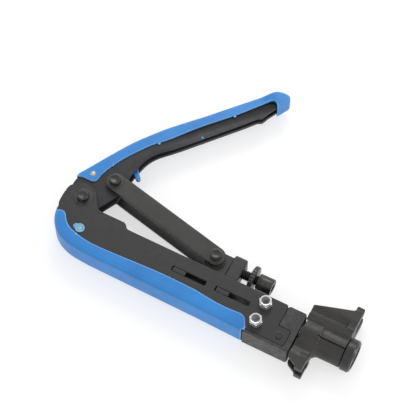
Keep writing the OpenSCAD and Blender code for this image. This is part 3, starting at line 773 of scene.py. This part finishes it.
def grip_f(x, y, z):
    a = prism(flat(gA, x, y), z, ZM, FT / 2 + 1.8, 4.2)
    b = prism(flat(gB, x, y), z, ZM, FT / 2 + 1.8, 0.75)
    d = smax(a, b, 0.7)
    over = np.maximum(156.3 - x, np.abs(z - ZM) - FT / 2 - 0.02)      # the side wall ends before the lip does
    d = smax(d, -over, 0.35)
    hollow = prism(flat(gP, x, y), z, ZM, FT / 2 - 0.12, 0.05)
    return smax(d, -hollow, 0.12)


g = field("look_frame_grip", grip_f, (-15, -46.5, -22.6), (160.5, -14, 3.0), 0.52)
done(g, "frame", "blue_grip", "frame_grip")

# ------------------------------------------------------------------ lever
anchors = [((92, 151.2), (94.5, 141)), ((86, 147.6), (92.6, 136.6)), ((81, 141.6), (90.6, 132.5)), ((77, 137), (88.4, 126.6)), ((61, 118.6), (70.5, 106.4)),
           ((51, 106.8), (60, 93.8)), ((31, 84.6), (43.7, 74.2)), ((21, 71.8), (33.8, 64.8)), ((11, 57.6), (27, 56.6)), ((1, 39.5), (22.8, 39)),
           ((-8, 23.5), (22.4, 25)), ((-12.4, 14), (22.1, 13)), ((-12.2, 4), (15.1, -1))]
lb_line = resample(lever_back[::-1], 900)
lm_line = resample(lever_mouth, 900)


def near(line, p):
    return int(np.argmin(((line - np.array(p)) ** 2).sum(1)))


ib = [near(lb_line, a) for a, _ in anchors]
im = [near(lm_line, b) for _, b in anchors]
spans = [10, 10, 8, 16, 12, 20, 14, 14, 14, 10, 8, 10]
stations = []
for k in range(len(anchors) - 1):
    for s in range(spans[k]):
        t = s / spans[k]
        stations.append((lb_line[int(round(ib[k] + (ib[k + 1] - ib[k]) * t))], lm_line[int(round(im[k] + (im[k + 1] - im[k]) * t))], k + t))
stations.append((lb_line[ib[-1]], lm_line[im[-1]], 12.0))
for i, (aa, bb) in enumerate([(-176, -8), (-160, -24), (-144, -40), (-128, -56), (-112, -72), (-100, -82)]):
    stations.append((np.array(arc(PV, 11.5, aa, aa, 1)[0]), np.array(arc(PV, 11.5, bb, bb, 1)[0]), 12.2 + i * 0.1))


def lever_section(b, m, k):
    """Half of the C section: (distance from the back, height above the middle)."""
    w = float(np.linalg.norm(m - b))
    t = min(1.0, max(0.0, (k - 6.2) / 3.2))
    t = t * t * (3 - 2 * t)
    mouth = 3.75 * (1 - t) + 4.9 * t          # height of the outer mouth edge
    roll = min(w * 0.42, 6.2 * (1 - t) + 0.6 * t)
    H, wall, rb = 5.3, 1.75, 2.1
    pts = []
    for i in range(7):
        a = math.pi / 2 * i / 6
        pts.append((rb * (1 - math.cos(a)), H - rb + rb * math.sin(a)))
    for u in (0.18, 0.36, 0.54, 0.72, 0.9, 1.0):
        pts.append((rb + (w - roll - rb) * u, H))
    for i in range(1, 11):
        u = math.sin(math.pi / 2 * i / 10)
        pts.append((w - roll + roll * u, mouth + (H - mouth) * math.sqrt(max(0.0, 1 - u * u))))
    th = min(1.5, mouth - 1.2)
    pts.append((w - 0.1, mouth - 0.35 * th))
    pts.append((w - 0.35, mouth - 0.75 * th))
    pts.append((w - 0.8, mouth - th))
    for u in (0.75, 0.5, 0.25, 0.0):
        uu = u
        pts.append((w - roll + (roll - 0.9) * uu, (mouth - th) + (H - wall - (mouth - th)) * math.sqrt(max(0.0, 1 - uu * uu * 0.97))))
    pts.append(((w - roll) * 0.6 + 1.6, H - wall))
    pts.append((wall + 1.0, H - wall))
    pts.append((wall + 0.25, H - wall - 0.35))
    pts.append((wall, H - wall - 1.2))
    return pts


bm = bmesh.new()
rings = []
for b, m, k in stations:
    half = lever_section(b, m, k)
    e = (m - b) / np.linalg.norm(m - b)
    sec = [(s, h) for s, h in half] + [(half[-1][0], 0.0)] + [(s, -h) for s, h in half[::-1]] + [(half[0][0], 0.0)]
    rings.append([bm.verts.new((b[0] + e[0] * s, b[1] + e[1] * s, ZM + h)) for s, h in sec])
for A, B in zip(rings, rings[1:]):
    for i in range(len(A)):
        j = (i + 1) % len(A)
        bm.faces.new((A[i], A[j], B[j], B[i]))
bm.faces.new(rings[0])
bm.faces.new(rings[-1][::-1])
lever_o = from_bm("look_lever_channel", bm, 45)
done(lever_o, "lever", "lever_steel", "lever_channel")

lA = [(-14.2, 8)] + lgrip_outer + [(94.9, 139.6), (88, 126), (62, 96), (46, 60), (30, 0), (0, -20)]
lB = [(-20, 12.5)] + push(lgrip_outer, -7.0)[3:-12] + [(84, 160), (108, 160), (100.05, 149.7)] + lgrip_lip
lV = lever_back + [(94.5, 141)] + lever_mouth[1:]


def lever_grip_f(x, y, z):
    t = np.clip((0.66 * x + 0.75 * y - 156) / 16, 0, 1)
    half = 6.9 + 2.0 * t * t * (3 - 2 * t)          # the end cap is a little thicker
    a = prism(flat(lA, x, y), z, ZM, half, 2.1)
    b = prism(flat(lB, x, y), z, ZM, half, 0.6)
    d = smax(a, b, 0.5)
    hollow = prism(flat(lV, x, y), z, ZM, 5.18, 0.05)
    d = smax(d, -hollow, 0.12)
    for cx, cy in ((5.9, 35.0), (28.3, 68.5), (68.7, 117.3)):       # moulded clips on the lip
        d = smin(d, prism(np.hypot(x - cx, y - cy) - 1.15, z, ZM, 6.85, 0.35) + np.maximum(0, 5.35 - np.abs(z - ZM)) * 4, 0.25)
    rs = np.hypot(x - LSCREW[0], y - LSCREW[1])
    d = smax(d, -np.maximum(rs - 2.0, 5.0 - np.abs(z - ZM)), 0.2)
    t = np.clip((LSCREW[1] - y) / 7.0, 0, 1)
    seam = np.maximum(np.hypot(x - LSCREW[0] - 1.0 * t, y - LSCREW[1] + 7.0 * t) - 0.38, 6.45 - np.abs(z - ZM))
    return smax(d, -seam, 0.12)


lg_parts = [nets(lever_grip_f, (-16, 11.5, ZM - 9.8), (102.5, 155.5, ZM + 9.8), 0.48)]
for zd in (ZM + 4.2, ZM - 4.2):                                      # moulding pips that show at the mouth
    lg_parts.append(nets(lambda x, y, z: np.sqrt((x - 55.0) ** 2 + (y - 89.3) ** 2 + (z - zd) ** 2) - 0.95, (53.5, 87.8, zd - 1.5), (56.5, 90.8, zd + 1.5), 0.2))
done(joined("look_lever_grip", lg_parts), "lever", "blue_grip", "lever_grip")


# lock tab: a small moulded paddle on its pin
def tab_f(x, y, z):
    hub = prism(np.hypot(x - TAB[0], y - TAB[1]) - 3.2, z, ZM, 1.8, 0.5)
    arm = [(TAB[0] - 1.3, TAB[1] - 2.6), (TAB[0] + 2.5, TAB[1] + 1.2), (28.9, 37.0), (28.2, 35.2), (26.2, 34.8)]
    a = prism(flat(arm, x, y), z, ZM, 1.8, 0.5)
    tip = prism(np.hypot(x - 27.5, y - 35.9) - 1.75, z, ZM, 1.8, 0.5)
    d = smin(smin(hub, a, 0.6), tip, 0.5)
    return smax(d, -(np.hypot(x - TAB[0], y - TAB[1]) - 1.55), 0.1)


done(field("look_lock_tab", tab_f, (14, 31, ZM - 2.6), (32, 49, ZM + 2.6), 0.26), "lock_tab", "blue_grip", "lock_tab")

# ------------------------------------------------------------------ plunger parts
bm = bmesh.new()
helix_bm(bm, "x", (AY, ZM), 3.25, 3.88, 124.6, 148.2, 1.25, 44, 0.9)
done(from_bm("look_plunger_screw", bm, 60), "plunger", "dark_screw", "plunger_screw")

tip_prof = [(0, 148.0), (5.6, 148.0), (6.15, 148.15), (6.4, 148.5), (6.4, 159.1), (6.25, 159.6), (5.85, 160.0), (3.6, 160.0), (3.2, 159.8), (3.05, 159.4), (3.0, 154.4), (2.6, 154.0), (0, 153.6)]
done(lathes("look_plunger_tip", [dict(profile=tip_prof, axis="x", c=(AY, ZM), n=80)], 40), "plunger", "tip_steel", "plunger_tip")


def knurl(r, h, a):
    if r < 9.3:
        return r
    ph = (a / (2 * math.pi) * 24) % 1.0
    return r - 0.62 * min(1.0, max(0.0, 1.35 - abs(ph - 0.5) / 0.17))


nut_prof = [(3.98, 142.25), (4.4, 142.2), (9.2, 142.2), (9.62, 142.3), (10.0, 142.6), (10.15, 143.2), (10.15, 144.9), (10.0, 145.5), (9.62, 145.8), (9.2, 145.9), (4.4, 145.9), (3.98, 145.85)]
done(lathes("look_lock_nut", [dict(profile=nut_prof, axis="x", c=(AY, ZM), n=24 * 14, radial=knurl)], 28), "lock_nut", "disc_steel", "lock_nut")


# ------------------------------------------------------------------ swivel head
HX0, HX1, SX1 = 194.5, 229.5, 208.3
slope = [(190, -13), (240, -13), (240, 8.1), (227, 8.0), (222.6, 7.2), (190, -3.25)]
slope2 = [(190, -38), (190, -43.2), (194.1, -43.7), (196.0, -46.0), (201.9, -49.2), (203, -50.9), (215, -51.4), (215, -38)]


def head_f(x, y, z):
    a = np.abs(z - ZM)
    ends = np.maximum(HX0 - x, x - HX1)
    ends2 = np.maximum(HX0 - x, x - SX1)
    boss = np.maximum(np.hypot((y - HY) * 0.905, z - ZM) - 10.75, ends)
    flange = np.maximum(np.hypot((y - HY) * 0.98, z - ZM) - 11.7, ends2)
    deck = boxd(x, y, z, HX0, HX1, HY - 1.3, AY - 9.8, ZM - 11.75, ZM + 11.75, 0.25)
    deck = np.maximum(deck, (a - 11.75 + 0.75 * np.exp(-((y + 16.2) / 2.4) ** 2)) * 0.95)
    big = np.maximum(np.minimum(np.hypot(y - AY, z - ZM) - 11.75, np.maximum(a - 11.75, AY - y)), ends)
    big = smax(big, flat(slope, x, y), 0.6)
    wall = boxd(x, y, z, 223.6, HX1, AY - 9, 11.5, ZM - 11.95, ZM + 11.95, 0.5)
    small_in = boxd(x, y, z, HX0, SX1, SY + 1, HY, ZM - 7.3, ZM + 7.3, 0.3)
    small = np.maximum(np.minimum(np.hypot(y - SY, z - ZM) - 8.9, np.maximum(a - 8.9, y - SY)), ends2)
    small = smax(small, flat(slope2, x, y), 0.5)
    wall2 = boxd(x, y, z, 202.7, SX1, -51.6, SY + 4, ZM - 8.95, ZM + 8.95, 0.5)
    d = smin(deck, big, 6.0)
    d = smin(d, wall, 1.6)
    e = smin(smin(flange, small_in, 2.0), smin(small, wall2, 1.0), 2.4)
    e = smin(e, boss, 5.0)
    d = smin(d, e, 0.35)
    d = smax(d, np.maximum(ends, -51.48 - y), 0.3)
    # troughs and cable slots
    t1 = np.maximum(np.minimum(np.hypot(y - AY, z - ZM) - 8.0, np.maximum(a - 8.0, AY - y)), x - 223.2)
    s1 = np.minimum(np.hypot(y - AY, z - ZM) - 4.4, np.maximum(a - 4.4, AY - y))
    s1 = np.maximum(s1, 221 - x)
    d = smax(d, -t1, 0.35)
    d = smax(d, -s1, 0.35)
    t2 = np.maximum(np.minimum(np.hypot(y - SY, z - ZM) - 5.6, np.maximum(a - 5.6, y - SY)), x - 202.4)
    s2 = np.minimum(np.hypot(y - SY, z - ZM) - 3.6, np.maximum(a - 3.6, y - SY))
    s2 = np.maximum(s2, 201 - x)
    d = smax(d, -t2, 0.3)
    d = smax(d, -s2, 0.3)
    # step line between the plateau and the boss
    d = smax(d, -np.maximum(np.maximum(np.abs(y + 22.95) - 0.42, 207.7 - x), 9.9 - a), 0.1)
    # bearing bore, chamber and the ring groove
    d = smax(d, -(np.hypot(y - HY, z - ZM) - 6.08), 0.15)
    d = smax(d, -np.maximum(np.hypot(y - HY, z - ZM) - 9.0, 208 - x), 0.15)
    rr = np.hypot(y - HY, z - ZM)
    groove = np.maximum(np.abs(rr - 10.6) - 2.1, x - (HX0 + 1.2))
    return smax(d, -np.maximum(groove, np.maximum(HY - 12.6 - y, -40 + 0 * y)), 0.15)


done(field("look_swivel_head", head_f, (193.4, -53.2, ZM - 13.2), (230.8, 13.2, ZM + 13.2), 0.36), "head", "black_cast", "swivel_head")

done(lathes("look_head_cap", [dict(profile=[(3.15, 226.4), (8.9, 226.4), (8.95, 226.5), (8.95, 229.3), (8.8, 229.5), (3.4, 229.5), (3.15, 229.3)], axis="x", c=(HY, ZM), n=64)], 40), "head", "black_cast", "head_cap")


def knob_f(x, y, z):
    r = np.hypot(y - HY, z - ZM)
    d = np.maximum(r - 12.45, np.maximum(230.2 - x, x - 237.4))
    d = smax(d, (r - 12.45) * 0.7071 + (x - 237.4 + 1.3) * 0.7071, 0.15)
    d = smax(d, (r - 12.45) * 0.7071 + (230.2 + 0.4 - x) * 0.7071, 0.1)
    d = smax(d, -np.maximum(r - 9.2, 236.6 - x), 0.3)
    c, s = math.cos(math.radians(20)), math.sin(math.radians(20))
    u, v = (y - HY) * c + (z - ZM) * s, -(y - HY) * s + (z - ZM) * c
    notch = np.maximum(np.maximum(11.4 - u, np.abs(v) - 1.2), x - 234.2)
    d = smax(d, -notch, 0.15)
    ring = np.hypot(r - 12.6, x - 234.2) - 0.28
    d = smax(d, -ring, 0.08)
    return smax(d, -(r - 3.02), 0.05)


done(field("look_head_knob", knob_f, (229.4, HY - 13.4, ZM - 13.4), (238.2, HY + 13.4, ZM + 13.4), 0.27), "knob", "knob_steel", "head_knob")

# return spring, a real coil
bm = bmesh.new()
turns, segs, tube = 4.6, 40, 12
prev = None
for i in range(int(turns * segs) + 1):
    a = 2 * math.pi * i / segs
    x = 215.6 + 4.6 * i / (turns * segs)
    ring = []
    for k in range(tube):
        b = 2 * math.pi * k / tube
        rr = 5.0 + 0.5 * math.cos(b)
        ring.append(bm.verts.new((x + 0.5 * math.sin(b), HY + rr * math.cos(a), ZM + rr * math.sin(a))))
    if prev:
        for k in range(tube):
            bm.faces.new((prev[k], prev[(k + 1) % tube], ring[(k + 1) % tube], ring[k]))
    else:
        bm.faces.new(ring[::-1])
    prev = ring
bm.faces.new(prev)
done(from_bm("look_knob_spring", bm, 60), "knob", "bare_steel", "knob_spring")

# ------------------------------------------------------------------ slider block and its keys
sl_low = [(88, -27.2), (135.1, -27.2), (135.1, 8.4), (126.2, 8.4), (124.9, 8.4), (124.9, -10.6), (88, -12.8)]
sl_block = rounded([(124.95, -9.9), (135.4, -9.9), (135.4, 9.9), (124.95, 9.9)], 1.8, 5)
sl_neck = [(LB[0], -11.5), (125.6, -11.5), (125.6, 7.8), (LB[0], 7.8)]
sl_tie = [(105.9, -13), (115.9, -13), (115.9, 1), (105.9, 1)]


def slider_f(x, y, z):
    d = prism(flat(sl_low, x, y), z, ZM, 3.7, 0.4)
    d = smin(d, prism(flat(sl_neck, x, y), z, ZM, 5.3, 0.5), 0.6)
    d = smin(d, prism(flat(sl_tie, x, y), z, ZM, 5.3, 0.5), 0.6)
    d = smin(d, prism(flat(sl_block, x, y), z, ZM, 6.9, 1.1), 0.5)
    d = smin(d, prism(np.hypot(x - LB[0], y - LB[1]) - 7.05, z, ZM, 6.9, 0.4), 0.4)
    d = smax(d, -np.maximum(np.hypot(y - AY, z - ZM) - 3.95, 121 - x), 0.25)
    return smax(d, -(np.hypot(x - LB[0] - 0.6, y - LB[1] - 0.3) - 3.75), 0.15)


done(field("look_slider_block", slider_f, (87, -28.4, ZM - 7.5), (136.3, 11, ZM + 7.5), 0.42), NODES["slider_block"]["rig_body"], "block_steel", "slider_block")


def key_field(x0):
    def f(x, y, z):
        return boxd(x, y, z, x0, x0 + 10.2, -24.72, -20.88, -FT + 0.14, -0.14, 0.4)
    return nets(f, (x0 - 0.8, -25.5, -FT - 0.6), (x0 + 11, -20, 0.6), 0.3)


done(joined("look_slider_guides", [key_field(89.5), key_field(125.1)]), NODES["slider_guides"]["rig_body"], "black_plate", "slider_guides")

# ------------------------------------------------------------------ the rest keeps the CAD shape with broken edges
rest = {
    "nose_block": ("black_plate", 0.3), "frame_spine": ("black_plate", 0.2), "swivel_tube": ("bare_steel", 0.2), "swivel_retainer": ("bare_steel", 0.2),
    "pivot_spacers": ("bare_steel", 0.15), "link_spacers": ("bare_steel", 0.15), "lever_bush": ("bare_steel", 0.2),
    "link_bush": ("bare_steel", 0.2), "lock_tab_pin": ("bare_steel", 0.15), "knob_rod": ("bare_steel", 0.2), "detent_ball": ("bare_steel", 0.0),
}
for nm, (mat, w) in rest.items():
    done(recast(nm, w), NODES[nm]["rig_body"], mat, nm)

left = [n for n, o in NODES.items() if not o.hide_render]
for n in left:
    NODES[n].data.materials.clear()
    NODES[n].data.materials.append(M["black_plate"])
print("CAD nodes shown as they are:", left)

# ------------------------------------------------------------------ floor, light, camera
bm = bmesh.new()
S = 3.0
nx = 24
grid = [[bm.verts.new((-S + 2 * S * i / nx, -S + 2 * S * j / nx, -0.00002)) for j in range(nx + 1)] for i in range(nx + 1)]
for i in range(nx):
    for j in range(nx):
        bm.faces.new((grid[i][j], grid[i + 1][j], grid[i + 1][j + 1], grid[i][j + 1]))
floor = from_bm("floor", bm, 180, design=False)
fm, nt, p, vec = base_material("floor_white")
link(nt, ramp(nt, noise(nt, vec, 6, 3, 0.5), [(0.3, (0.43, 0.431, 0.435, 1)), (0.7, (0.45, 0.451, 0.454, 1))]), p.inputs["Base Color"])
p.inputs["Emission Color"].default_value = (1.0, 1.0, 1.0, 1)
p.inputs["Emission Strength"].default_value = 0.6
p.inputs["Roughness"].default_value = 0.85
p.inputs["Specular IOR Level"].default_value = 0.15
add_bump(nt, p, noise(nt, vec, 900, 2, 0.5), 0.00003, 0.1)
floor.data.materials.append(fm)

world = bpy.data.worlds.new("studio")
scene.world = world
world.use_nodes = True
wn = world.node_tree.nodes["Background"]
wn.inputs["Color"].default_value = (1.0, 1.0, 1.0, 1)
wn.inputs["Strength"].default_value = 0.82


def area(name, loc, target, size, power, color=(1, 1, 1)):
    d = bpy.data.lights.new(name, "AREA")
    d.shape = "RECTANGLE"
    d.size, d.size_y = size
    d.energy = power
    d.color = color
    o = bpy.data.objects.new(name, d)
    scene.collection.objects.link(o)
    o.location = loc
    o.rotation_mode = "QUATERNION"
    o.rotation_quaternion = (Vector(target) - Vector(loc)).to_track_quat("-Z", "Y")
    return o


area("key", (-0.35, 1.0, 1.05), (0, 0, 0), (0.8, 0.6), 6.6)
area("side", (1.3, 0.35, 0.45), (0, 0, 0), (0.5, 0.5), 3.4)
area("front", (0.35, -0.95, 0.75), (0, 0, 0), (0.9, 0.5), 0.8)

cam = bpy.data.cameras.new("camera")
cam.lens = 138.5
cam.sensor_width = 36
cam.clip_start, cam.clip_end = 0.02, 20
co = bpy.data.objects.new("camera", cam)
scene.collection.objects.link(co)
fwd = Vector((-0.2211, 0.4229, -0.8788)).normalized()
right = Vector((0.8862, 0.4633, 0.0)).normalized()
up = right.cross(fwd).normalized()
co.matrix_world = Matrix(((right.x, up.x, -fwd.x, 0.24305), (right.y, up.y, -fwd.y, -0.52585), (right.z, up.z, -fwd.z, 1.0805), (0, 0, 0, 1)))
scene.camera = co
scene.view_settings.view_transform = "Standard"
